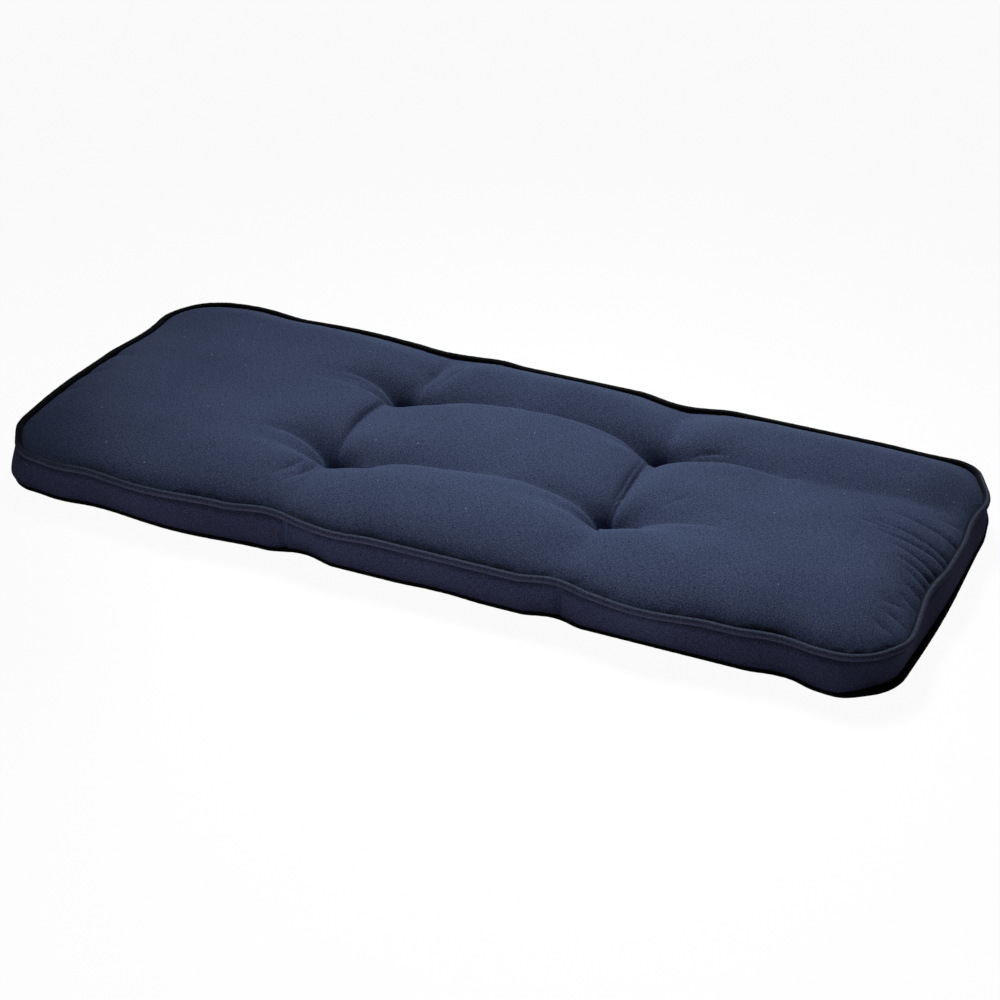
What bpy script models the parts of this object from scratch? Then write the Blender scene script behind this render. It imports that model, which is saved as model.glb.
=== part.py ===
"""A bench cushion: a filled and tufted body, a boxing strip round its side and a piping on each seam.

Metres, +Z up.  The origin is the middle of the face that rests on the bench.  +X runs along the
cushion's length and -Y is its front edge.
"""

import collections
import math

import bmesh
import bpy

# Finished sizes.  Length and depth are measured between the centre lines of the piping.
LENGTH = 1.124
DEPTH = 0.456
PIPING_RADIUS = 0.0039
SEAM_SPACING = 0.0420  # from the bottom piping's centre line up to the top one's
TOP_CORNER = 0.062
BOTTOM_CORNER = 0.054
CLOTH = 0.0015
CLEARANCE = 0.0005
PANEL_GROOVE = 0.0016  # between the piping and the panel it is sewn to
BACKING_GAP = 0.0014  # between the strip and the filling behind it

# The filling.  The crown is how far the stuffing lifts the top over its seam.
CROWN = 0.0300
SHOULDER_ENDS = 0.135  # width of the rounded shoulder along the two short ends
SHOULDER_SIDES = 0.118  # and along the two long sides
SHOULDER_POWER = 2.2
UNDERSIDE_SHOULDER = 0.026
STRIP_BULGE = 0.0035
STRIP_TUCK = 0.0012  # how far the strip's sewn edges lie inside the seam line

# The tufts, tied down through the filling.  A share is the part of the crown that a dip takes away.
Place = collections.namedtuple("Place", "x y")
TUFTS = (
    Place(-0.160, 0.076),
    Place(-0.160, -0.097),
    Place(0.180, 0.066),
    Place(0.182, -0.089),
)
TUFT_SHARE = 1.22  # over 1, so the ties lie a little below the seam
TUFT_REACH_SIDEWAYS = 0.050
TUFT_REACH_FRONT = 0.014
TUFT_REACH_BACK = 0.036
FLOOR = 0.15  # how round the floor of a dip is, as a part of its reach
UNDERSIDE_TUFT_DEPTH = 0.012
UNDERSIDE_TUFT_REACH = 0.034

# The troughs between tufts and out to the edges.  Each runs from start to end and is bowed to its
# left by the bow; its share goes from the first value to the last, and it is as wide to its left
# and to its right as the two reaches say.
Fold = collections.namedtuple("Fold", "start end bow share last left_reach right_reach")
BACK_LEFT, FRONT_LEFT, BACK_RIGHT, FRONT_RIGHT = TUFTS
FOLDS = (
    Fold(BACK_LEFT, BACK_RIGHT, 0.020, 0.46, 0.46, 0.044, 0.014),
    Fold(FRONT_LEFT, FRONT_RIGHT, 0.012, 0.22, 0.40, 0.040, 0.016),
    Fold(BACK_LEFT, FRONT_LEFT, -0.004, 0.50, 0.50, 0.036, 0.036),
    Fold(BACK_LEFT, FRONT_LEFT, -0.020, 0.62, 0.62, 0.007, 0.012),
    Fold(BACK_RIGHT, FRONT_RIGHT, -0.004, 0.50, 0.50, 0.036, 0.036),
    Fold(BACK_RIGHT, FRONT_RIGHT, -0.008, 0.60, 0.60, 0.009, 0.010),
    Fold(BACK_LEFT, Place(-0.280, 0.080), -0.012, 0.60, 0.0, 0.014, 0.034),
    Fold(FRONT_LEFT, Place(-0.290, -0.088), -0.012, 0.62, 0.0, 0.014, 0.036),
    Fold(BACK_RIGHT, Place(0.350, 0.064), 0.008, 0.62, 0.0, 0.036, 0.014),
    Fold(FRONT_RIGHT, Place(0.330, -0.088), 0.010, 0.60, 0.0, 0.036, 0.014),
    Fold(BACK_LEFT, Place(-0.150, 0.222), 0.0, 0.30, 0.24, 0.040, 0.040),
    Fold(FRONT_LEFT, Place(-0.170, -0.222), 0.0, 0.34, 0.26, 0.040, 0.040),
    Fold(BACK_RIGHT, Place(0.160, 0.222), 0.0, 0.30, 0.24, 0.040, 0.040),
    Fold(FRONT_RIGHT, Place(0.180, -0.222), 0.0, 0.34, 0.26, 0.040, 0.040),
)

EDGE_FADE = 5.0  # how fast a drawn-in edge stops moving the cloth further in
BLEND = 3.0  # how softly overlapping dips join

# Where an edge is drawn in by a tuft column or a tight stitch, or bulges out (less than zero).
Pull = collections.namedtuple("Pull", "edge along reach inward lift")
TOP_PULLS = (
    Pull("front", -0.465, 0.045, -0.004, 0.000),
    Pull("front", -0.340, 0.095, -0.008, 0.000),
    Pull("front", -0.182, 0.055, 0.006, 0.003),
    Pull("front", -0.092, 0.050, -0.005, 0.000),
    Pull("front", 0.178, 0.045, 0.005, 0.003),
    Pull("front", 0.285, 0.080, -0.009, 0.000),
    Pull("front", 0.438, 0.050, 0.006, 0.000),
    Pull("back", -0.455, 0.080, -0.009, 0.000),
    Pull("back", -0.300, 0.110, -0.006, 0.000),
    Pull("back", -0.168, 0.050, 0.005, 0.002),
    Pull("back", -0.095, 0.035, -0.004, 0.000),
    Pull("back", 0.155, 0.065, 0.008, 0.002),
    Pull("back", 0.450, 0.060, -0.003, 0.000),
    Pull("left", -0.065, 0.110, -0.007, 0.000),
    Pull("left", -0.215, 0.070, 0.010, 0.002),
    Pull("left", 0.125, 0.090, 0.008, 0.000),
    Pull("left", 0.215, 0.065, 0.010, 0.000),
    Pull("right", -0.165, 0.050, -0.004, 0.000),
    Pull("right", -0.070, 0.060, 0.005, 0.001),
    Pull("right", 0.100, 0.060, 0.005, 0.000),
    Pull("right", 0.205, 0.070, 0.012, 0.000),
)
BOTTOM_PULLS = (
    Pull("front", -0.465, 0.045, -0.004, 0.000),
    Pull("front", -0.300, 0.110, -0.008, 0.000),
    Pull("front", -0.138, 0.045, 0.010, 0.000),
    Pull("front", 0.040, 0.060, 0.003, 0.000),
    Pull("front", 0.178, 0.038, 0.008, 0.000),
    Pull("front", 0.443, 0.040, 0.005, 0.000),
    Pull("front", 0.505, 0.040, -0.004, 0.000),
    Pull("back", -0.450, 0.080, -0.006, 0.000),
    Pull("back", -0.170, 0.060, 0.006, 0.000),
    Pull("back", 0.165, 0.060, 0.007, 0.000),
    Pull("left", -0.130, 0.060, -0.004, 0.000),
    Pull("left", -0.215, 0.075, 0.012, 0.000),
    Pull("left", 0.110, 0.090, 0.005, 0.000),
    Pull("right", -0.060, 0.160, -0.005, 0.000),
    Pull("right", 0.205, 0.080, 0.010, 0.000),
)

# The upright pinches that the tuft columns leave in the boxing strip.
Pinch = collections.namedtuple("Pinch", "edge along reach inward")
PINCHES = (
    Pinch("front", -0.160, 0.013, 0.0035),
    Pinch("front", 0.184, 0.013, 0.0030),
    Pinch("back", -0.168, 0.013, 0.0030),
    Pinch("back", 0.160, 0.013, 0.0030),
)
PINCH_BACKING_REACH = 2.0  # the filling behind a pinch gives way this many times as widely
PINCH_BACKING_DEPTH = 1.4  # and this many times as deep

Seam = collections.namedtuple("Seam", "height corner pulls")
BOTTOM_SEAM = Seam(PIPING_RADIUS, BOTTOM_CORNER, BOTTOM_PULLS)
TOP_SEAM = Seam(PIPING_RADIUS + SEAM_SPACING, TOP_CORNER, TOP_PULLS)

# The grid of the filled body: each band runs out to its far end in cells of about one size.
Band = collections.namedtuple("Band", "far_end cells")
BODY_INSET = PIPING_RADIUS + PANEL_GROOVE
LENGTH_BANDS = (
    Band(0.110, 6),
    Band(0.240, 13),
    Band(0.490, 12),
    Band(LENGTH / 2 - BODY_INSET, 6),
)
DEPTH_BANDS = (
    Band(0.045, 3),
    Band(0.115, 7),
    Band(0.165, 3),
    Band(DEPTH / 2 - BODY_INSET, 5),
)
SIDE_LEVELS = (0.14, 0.50, 0.86)

# The stations at which the strip and the piping follow an edge.
STATION = 0.020
CORNER_STEPS = 5
PINCH_STATIONS = (-0.013, -0.006, 0.0, 0.006, 0.013)

CLOTH_COLOUR = (0.026, 0.033, 0.066, 1.0)
PIPING_COLOUR = (0.020, 0.022, 0.044, 1.0)
CLOTH_ROUGHNESS = 0.92


def bell(distance, reach):
    """One at the middle, falling smoothly to nothing at the reach."""
    share = min(abs(distance) / reach, 1.0)
    return (1.0 - share * share) ** 2


def edge_names(x, y):
    """The end and the side that a point in plan lies nearer to."""
    end = "right" if x > 0 else "left"
    side = "back" if y > 0 else "front"
    return end, side


def edge_sum(rows, edge, along, column):
    """What all the rows of one edge add up to at a place along it."""
    return sum(getattr(row, column) * bell(along - row.along, row.reach) for row in rows if row.edge == edge)


def plan(seam, x, y, inset):
    """A point of the plain rectangle, moved to where rounded corners and drawn-in edges put it."""
    half_x = LENGTH / 2 - inset
    half_y = DEPTH / 2 - inset
    corner = seam.corner - inset
    into_x = max(abs(x) - half_x + corner, 0.0) / corner
    into_y = max(abs(y) - half_y + corner, 0.0) / corner
    out_x = min(abs(x), half_x - corner) + corner * into_x * math.sqrt(1 - into_y**2 / 2)
    out_y = min(abs(y), half_y - corner) + corner * into_y * math.sqrt(1 - into_x**2 / 2)
    end, side = edge_names(x, y)
    out_x -= edge_sum(seam.pulls, end, y, "inward") * (abs(x) / half_x) ** EDGE_FADE
    out_y -= edge_sum(seam.pulls, side, x, "inward") * (abs(y) / half_y) ** EDGE_FADE
    return math.copysign(out_x, x), math.copysign(out_y, y)


def seam_height(seam, x, y):
    """Height of the seam next to a point, with the places where the edge is pulled up."""
    end, side = edge_names(x, y)
    lift = edge_sum(seam.pulls, end, y, "lift") * (2 * abs(x) / LENGTH) ** EDGE_FADE
    lift += edge_sum(seam.pulls, side, x, "lift") * (2 * abs(y) / DEPTH) ** EDGE_FADE
    return seam.height + lift


def dip(away):
    """The cross-section of a dip: one at its floor, with a narrow round bed and long flanks."""
    return math.exp(FLOOR - math.hypot(away, FLOOR))


def tuft_share(x, y, tuft):
    """How much of the crown one tuft takes away at a point."""
    reach_y = TUFT_REACH_BACK if y > tuft.y else TUFT_REACH_FRONT
    return TUFT_SHARE * dip(math.hypot((x - tuft.x) / TUFT_REACH_SIDEWAYS, (y - tuft.y) / reach_y))


def fold_share(x, y, fold):
    """How much of the crown one fold takes away at a point."""
    run_x = fold.end.x - fold.start.x
    run_y = fold.end.y - fold.start.y
    length = math.hypot(run_x, run_y)
    part = ((x - fold.start.x) * run_x + (y - fold.start.y) * run_y) / length**2
    part = min(max(part, 0.0), 1.0)
    bow = fold.bow * 4.0 * part * (1.0 - part)
    off_x = x - (fold.start.x + run_x * part - run_y / length * bow)
    off_y = y - (fold.start.y + run_y * part + run_x / length * bow)
    to_left = run_x * off_y - run_y * off_x > 0
    reach = fold.left_reach if to_left else fold.right_reach
    return (fold.share + (fold.last - fold.share) * part) * dip(math.hypot(off_x, off_y) / reach)


def top_height(x, y):
    """Height of the stuffed top at a point of the plain rectangle."""
    to_end = (LENGTH / 2 - BODY_INSET - abs(x)) / SHOULDER_ENDS
    to_side = (DEPTH / 2 - BODY_INSET - abs(y)) / SHOULDER_SIDES
    rise = 1.0
    for distance in (to_end, to_side):
        rise *= 1.0 - (1.0 - min(max(distance, 0.0), 1.0)) ** SHOULDER_POWER
    shares = [tuft_share(x, y, tuft) for tuft in TUFTS] + [fold_share(x, y, fold) for fold in FOLDS]
    taken = sum(share**BLEND for share in shares) ** (1.0 / BLEND)
    return seam_height(TOP_SEAM, x, y) + CROWN * rise * (1.0 - taken)


def underside_height(x, y):
    """Height of the underside: flat where it rests, rising to the seam and at each tie."""
    to_end = (LENGTH / 2 - BODY_INSET - abs(x)) / UNDERSIDE_SHOULDER
    to_side = (DEPTH / 2 - BODY_INSET - abs(y)) / UNDERSIDE_SHOULDER
    edge = max(1.0 - min(to_end, to_side), 0.0) ** 2
    ties = sum(bell(math.hypot(x - tuft.x, y - tuft.y), UNDERSIDE_TUFT_REACH) for tuft in TUFTS)
    return BOTTOM_SEAM.height * edge + UNDERSIDE_TUFT_DEPTH * ties


def stations(bands):
    """The cuts of the body's grid from one edge to the other, the same on both halves."""
    start = 0.0
    half = []
    for band in bands:
        half += [start + (band.far_end - start) * cell / band.cells for cell in range(1, band.cells + 1)]
        start = band.far_end
    return [-value for value in reversed(half)] + [0.0] + half


def strip_offset(level):
    """How far the strip's outer face stands out from the seam line, from bottom (0) to top (1)."""
    return STRIP_BULGE * 4.0 * level * (1.0 - level) - STRIP_TUCK


def side_point(x, y, level, inset, widen=1.0, deepen=1.0):
    """A point of the upright side between the two seams, drawn in at the pinches."""
    low = plan(BOTTOM_SEAM, x, y, inset)
    high = plan(TOP_SEAM, x, y, inset)
    out_x = low[0] + (high[0] - low[0]) * level
    out_y = low[1] + (high[1] - low[1]) * level
    end, side = edge_names(x, y)
    for pinch in PINCHES:
        if pinch.edge == side and abs(y) > DEPTH / 4:
            depth = deepen * pinch.inward * bell(x - pinch.along, widen * pinch.reach)
            out_y -= math.copysign(depth * 4.0 * level * (1.0 - level), y)
    bottom = BOTTOM_SEAM.height
    return out_x, out_y, bottom + (seam_height(TOP_SEAM, x, y) - bottom) * level


def filled_body():
    """The top and bottom panels with their filling: a cube cut into a grid and shaped."""
    mesh = bmesh.new()
    bmesh.ops.create_cube(mesh, size=1.0)
    half_x = LENGTH / 2 - BODY_INSET
    half_y = DEPTH / 2 - BODY_INSET
    bmesh.ops.scale(mesh, vec=(2 * half_x, 2 * half_y, 1.0), verts=mesh.verts)
    bmesh.ops.translate(mesh, vec=(0.0, 0.0, 0.5), verts=mesh.verts)
    cuts = [((x, 0, 0), (1, 0, 0)) for x in stations(LENGTH_BANDS)[1:-1]]
    cuts += [((0, y, 0), (0, 1, 0)) for y in stations(DEPTH_BANDS)[1:-1]]
    cuts += [((0, 0, z), (0, 0, 1)) for z in SIDE_LEVELS]
    for place, normal in cuts:
        whole = mesh.verts[:] + mesh.edges[:] + mesh.faces[:]
        bmesh.ops.bisect_plane(mesh, geom=whole, dist=1e-6, plane_co=place, plane_no=normal)
    tolerance = 1e-6
    for vert in mesh.verts:
        x, y, level = vert.co
        if level > 1.0 - tolerance:
            vert.co = (*plan(TOP_SEAM, x, y, BODY_INSET), top_height(x, y))
        elif level < tolerance:
            vert.co = (*plan(BOTTOM_SEAM, x, y, BODY_INSET), underside_height(x, y))
        else:
            # The wall stands behind the strip: the plain rectangle is widened to that line.
            behind = CLOTH + BACKING_GAP - strip_offset(level)
            wide_x = x * (LENGTH / 2 - behind) / half_x
            wide_y = y * (DEPTH / 2 - behind) / half_y
            vert.co = side_point(wide_x, wide_y, level, behind, PINCH_BACKING_REACH, PINCH_BACKING_DEPTH)
    return mesh


def edge_walk(inset, extra_places=()):
    """The border of the plain rectangle, once round, with short steps at corners and pinches."""
    half_x = LENGTH / 2 - inset
    half_y = DEPTH / 2 - inset
    corner = TOP_CORNER - inset
    bends = [corner * step / CORNER_STEPS for step in range(CORNER_STEPS)]

    def side(half, extras):
        """Places along one edge from its first corner point to just before its last."""
        straight = half - corner
        count = round(2 * straight / STATION)
        even = [-straight + 2 * straight * step / count for step in range(count + 1)]
        kept = [place for place in even if all(abs(place - extra) > STATION / 3 for extra in extras)]
        starts = [-half + bend for bend in bends]
        ends = [half - corner + bend for bend in bends[1:]]
        return starts + sorted(kept + list(extras)) + ends

    front = [place for edge, place in extra_places if edge == "front"]
    back = [place for edge, place in extra_places if edge == "back"]
    walk = [(x, -half_y) for x in side(half_x, front)]
    walk += [(half_x, y) for y in side(half_y, ())]
    walk += [(-x, half_y) for x in side(half_x, [-place for place in back])]
    walk += [(-half_x, -y) for y in side(half_y, ())]
    return walk


def strip_band():
    """The boxing strip's outer face: a grid wrapped once round the side, closed at its join."""
    places = [(pinch.edge, pinch.along + step) for pinch in PINCHES for step in PINCH_STATIONS]
    walk = edge_walk(0.0, places)
    rows = 3
    mesh = bmesh.new()
    bmesh.ops.create_grid(mesh, x_segments=len(walk), y_segments=rows, size=0.5)
    rise = PIPING_RADIUS + CLEARANCE
    for vert in mesh.verts:
        place = round((vert.co.x + 0.5) * len(walk)) % len(walk)
        height = rise + (SEAM_SPACING - 2 * rise) * (vert.co.y + 0.5)
        level = height / SEAM_SPACING
        x, y = walk[place]
        out = strip_offset(level)
        wide = (x * (LENGTH / 2 + out) / (LENGTH / 2), y * (DEPTH / 2 + out) / (DEPTH / 2))
        vert.co = side_point(*wide, level, -out)
    bmesh.ops.remove_doubles(mesh, verts=mesh.verts, dist=1e-5)
    bmesh.ops.recalc_face_normals(mesh, faces=mesh.faces)
    return mesh


def material(name, colour):
    """A plain woven-cloth material."""
    cloth = bpy.data.materials.new(name)
    cloth.use_nodes = True
    shader = cloth.node_tree.nodes["Principled BSDF"]
    shader.inputs["Base Color"].default_value = colour
    shader.inputs["Roughness"].default_value = CLOTH_ROUGHNESS
    shader.inputs["Metallic"].default_value = 0.0
    return cloth


def add_mesh(name, mesh, collection, cloth):
    """Turn a modelled mesh into a named, smooth-shaded object."""
    data = bpy.data.meshes.new(name)
    mesh.to_mesh(data)
    mesh.free()
    data.materials.append(cloth)
    data.shade_smooth()
    built = bpy.data.objects.new(name, data)
    collection.objects.link(built)
    return built


def add_piping(name, seam, collection, cloth):
    """A piping: a closed tube along its seam."""
    walk = edge_walk(0.0)
    data = bpy.data.curves.new(name, "CURVE")
    data.dimensions = "3D"
    data.bevel_depth = PIPING_RADIUS
    data.bevel_resolution = 2
    data.use_fill_caps = True
    line = data.splines.new("POLY")
    line.points.add(len(walk) - 1)
    for point, (x, y) in zip(line.points, walk):
        point.co = (*plan(seam, x, y, 0.0), seam_height(seam, x, y), 1.0)
    line.use_cyclic_u = True
    data.materials.append(cloth)
    built = bpy.data.objects.new(name, data)
    collection.objects.link(built)
    return built


for old in list(bpy.data.objects):
    bpy.data.objects.remove(old, do_unlink=True)

cushion = bpy.data.collections.new("bench_cushion")
bpy.context.scene.collection.children.link(cushion)

panel_cloth = material("panel_cloth", CLOTH_COLOUR)
strip_cloth = material("strip_cloth", CLOTH_COLOUR)
top_piping_cloth = material("top_piping_cloth", PIPING_COLOUR)
bottom_piping_cloth = material("bottom_piping_cloth", PIPING_COLOUR)

add_mesh("filled_cushion", filled_body(), cushion, panel_cloth)

strip = add_mesh("boxing_strip", strip_band(), cushion, strip_cloth)
thickness = strip.modifiers.new("cloth thickness", "SOLIDIFY")
thickness.thickness = CLOTH
thickness.offset = -1.0
thickness.use_even_offset = True

add_piping("piping_top", TOP_SEAM, cushion, top_piping_cloth)
add_piping("piping_bottom", BOTTOM_SEAM, cushion, bottom_piping_cloth)
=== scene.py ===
import collections
import math

import bmesh
import bpy
import numpy as np
from mathutils import Matrix, Vector, noise


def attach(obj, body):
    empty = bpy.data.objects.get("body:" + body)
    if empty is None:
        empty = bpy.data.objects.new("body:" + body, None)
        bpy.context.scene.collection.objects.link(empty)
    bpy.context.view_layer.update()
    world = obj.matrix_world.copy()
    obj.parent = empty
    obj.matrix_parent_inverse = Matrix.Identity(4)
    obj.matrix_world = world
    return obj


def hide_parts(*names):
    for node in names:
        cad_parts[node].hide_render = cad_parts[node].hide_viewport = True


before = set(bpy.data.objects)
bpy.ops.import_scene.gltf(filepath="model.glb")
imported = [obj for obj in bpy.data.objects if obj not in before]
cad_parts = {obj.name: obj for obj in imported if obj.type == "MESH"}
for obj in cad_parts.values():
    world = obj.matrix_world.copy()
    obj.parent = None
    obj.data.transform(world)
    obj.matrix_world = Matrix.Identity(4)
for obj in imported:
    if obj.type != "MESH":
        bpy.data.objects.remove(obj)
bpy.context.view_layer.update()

# ------------------------------------------------------------------------------------------------
# The filled cushion: a top and a bottom panel of heathered navy outdoor cloth, sewn to the boxing
# and stuffed with loose fibre, then tied down through the filling at four tufts.  The ties pull the
# top into soft pillows, with troughs from tuft to tuft and gathers where a seam is tight.
# ------------------------------------------------------------------------------------------------

# Length and depth run between the centre lines of the piping.
LENGTH = 1.124
DEPTH = 0.456
PIPING_RADIUS = 0.0039
SEAM_SPACING = 0.0420
PANEL_INSET = 0.0034  # the panel's sewn edge, inside the piping's centre line
PANEL_DROP = 0.0016  # and below it
CROWN = 0.0300
Shoulder = collections.namedtuple("Shoulder", "width power roll_reach")
LEFT_SHOULDER = Shoulder(0.135, 1.9, 0.011)
RIGHT_SHOULDER = Shoulder(0.100, 2.6, 0.014)
FRONT_SHOULDER = Shoulder(0.118, 2.1, 0.011)
BACK_SHOULDER = Shoulder(0.060, 1.5, 0.030)
ROLL = 0.0080  # the part of the crown that the cloth rises in one tight roll beside the seam
UNDERSIDE_SHOULDER = 0.026
STRIP_BULGE = 0.0035
STRIP_BULGE_LEFT = 0.0040  # and this much more at the left end
STRIP_SAG = 0.6  # under one, so that the fullest part of the boxing lies low
STRIP_TUCK_TOP = 0.0018
STRIP_TUCK_BOTTOM = -0.0010
STRIP_TUCK_RIGHT = 0.0065  # the bottom piping lies bare at the near right corner
TUCK_MIDDLE = 0.45  # the share of that tuck halfway along the right end
TUCK_FAR = 0.20  # and its share at the far corner
TUCK_LENGTH = 0.30  # how far along the end it takes to come in
END_FADE = 0.050  # how far in from its end such a bulge or tuck dies away
BACKING = 0.0030  # from the boxing's outer face back to the filling
EDGE_FADE = 5.0  # the higher, the nearer to its edge a pull stays
BLEND = 3.0  # the higher, the less two dips that meet add up

# Where a seam is drawn in by a tuft column or a tight stitch, or bulges out (less than zero).
Pull = collections.namedtuple("Pull", "edge along reach inward lift")
Seam = collections.namedtuple("Seam", "height corner pulls")
TOP_SEAM = Seam(
    height=PIPING_RADIUS + SEAM_SPACING,
    corner=0.062,
    pulls=(
        Pull("front", -0.465, 0.045, -0.004, 0.000),
        Pull("front", -0.340, 0.095, -0.008, 0.000),
        Pull("front", -0.182, 0.055, 0.006, 0.003),
        Pull("front", -0.092, 0.050, -0.005, 0.000),
        Pull("front", 0.178, 0.045, 0.005, 0.003),
        Pull("front", 0.285, 0.080, -0.009, 0.000),
        Pull("front", 0.438, 0.050, 0.006, 0.000),
        Pull("back", -0.455, 0.080, -0.009, 0.000),
        Pull("back", -0.300, 0.110, -0.006, 0.000),
        Pull("back", -0.168, 0.050, 0.006, 0.001),
        Pull("back", -0.095, 0.035, -0.004, 0.000),
        Pull("back", 0.158, 0.065, 0.012, 0.000),
        Pull("back", 0.480, 0.070, 0.003, 0.000),
        Pull("left", -0.065, 0.110, -0.005, 0.000),
        Pull("left", -0.215, 0.070, 0.014, 0.002),
        Pull("left", 0.125, 0.090, 0.011, 0.000),
        Pull("left", 0.215, 0.065, 0.013, 0.000),
        Pull("right", -0.165, 0.050, -0.004, 0.000),
        Pull("right", -0.070, 0.060, 0.005, 0.001),
        Pull("right", 0.100, 0.060, 0.005, 0.000),
        Pull("right", 0.205, 0.070, 0.014, 0.000),
    ),
)
BOTTOM_SEAM = Seam(
    height=PIPING_RADIUS,
    corner=0.054,
    pulls=(
        Pull("front", -0.465, 0.045, -0.004, 0.000),
        Pull("front", -0.300, 0.110, -0.008, 0.000),
        Pull("front", -0.138, 0.045, 0.010, 0.000),
        Pull("front", 0.040, 0.060, 0.003, 0.000),
        Pull("front", 0.178, 0.038, 0.008, 0.000),
        Pull("front", 0.443, 0.040, 0.005, 0.000),
        Pull("front", 0.505, 0.050, -0.007, 0.000),
        Pull("back", -0.450, 0.080, -0.006, 0.000),
        Pull("back", -0.170, 0.060, 0.006, 0.000),
        Pull("back", 0.165, 0.060, 0.007, 0.000),
        Pull("left", -0.130, 0.060, -0.004, 0.000),
        Pull("left", -0.215, 0.075, 0.012, 0.000),
        Pull("left", 0.110, 0.090, 0.005, 0.000),
        Pull("right", -0.050, 0.180, -0.005, 0.000),
        Pull("right", 0.205, 0.080, 0.009, 0.000),
    ),
)

# The tufts.  A share is the part of the crown that a dip takes away.
Place = collections.namedtuple("Place", "x y")
BACK_LEFT = Place(-0.156, 0.074)
FRONT_LEFT = Place(-0.159, -0.101)
BACK_RIGHT = Place(0.186, 0.075)
FRONT_RIGHT = Place(0.187, -0.094)
TUFTS = (BACK_LEFT, FRONT_LEFT, BACK_RIGHT, FRONT_RIGHT)
TUFT_SHARE = 1.45
TUFT_REACH_SIDEWAYS = 0.036
TUFT_REACH_FRONT = 0.009
TUFT_REACH_BACK = 0.030
FUNNEL_DEPTH = 0.013  # where the tie itself pulls the cloth down
FUNNEL_REACH = 0.019
PIT_LEVEL = 0.028  # below this height a pit's floor rounds off,
PIT_ROUNDING = 4.0  # to one part in so many of its depth
DIP_BED = 0.12  # how round the bed of a dip is, in its reaches
UNDERSIDE_TUFT_DEPTH = 0.012
UNDERSIDE_TUFT_REACH = 0.034

# Troughs run from start to end, bowed to their left by the bow.  A trough takes the first share of
# the crown where it starts and the last where it ends.  It is as wide to each side as its reaches.
Trough = collections.namedtuple("Trough", "start end bow first last left_reach right_reach")
BACK_MIDDLE = Place(0.010, 0.101)
FRONT_MIDDLE = Place(0.050, -0.069)
TROUGHS = (
    Trough(BACK_LEFT, BACK_MIDDLE, 0.006, 1.15, 0.50, 0.038, 0.009),
    Trough(BACK_MIDDLE, Place(0.180, 0.079), 0.011, 0.50, 1.15, 0.036, 0.009),
    Trough(FRONT_LEFT, FRONT_MIDDLE, 0.010, 0.80, 0.22, 0.034, 0.010),
    Trough(FRONT_MIDDLE, Place(0.184, -0.088), 0.010, 0.22, 0.76, 0.034, 0.010),
    Trough(Place(-0.170, 0.078), Place(-0.166, -0.084), -0.006, 0.46, 0.54, 0.046, 0.015),
    Trough(BACK_RIGHT, FRONT_RIGHT, -0.004, 0.58, 0.66, 0.018, 0.034),
    Trough(BACK_LEFT, Place(-0.265, 0.080), -0.018, 1.05, 0.0, 0.010, 0.032),
    Trough(FRONT_LEFT, Place(-0.275, -0.084), -0.018, 1.00, 0.0, 0.010, 0.034),
    Trough(BACK_RIGHT, Place(0.340, 0.078), 0.012, 1.30, 0.38, 0.036, 0.011),
    Trough(Place(0.340, 0.078), Place(0.530, 0.095), 0.0, 0.36, 0.52, 0.046, 0.060),
    Trough(FRONT_RIGHT, Place(0.330, -0.078), 0.010, 0.80, 0.0, 0.034, 0.010),
    Trough(BACK_LEFT, Place(-0.150, 0.222), 0.0, 0.58, 0.74, 0.042, 0.036),
    Trough(FRONT_LEFT, Place(-0.165, -0.222), 0.0, 0.34, 0.20, 0.036, 0.036),
    Trough(BACK_RIGHT, Place(0.165, 0.222), 0.0, 0.54, 0.90, 0.040, 0.040),
    Trough(FRONT_RIGHT, Place(0.180, -0.222), 0.0, 0.30, 0.20, 0.036, 0.036),
    Trough(Place(-0.556, -0.222), Place(-0.470, -0.222), 0.0, 0.80, 0.40, 0.070, 0.070),
)

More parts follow.
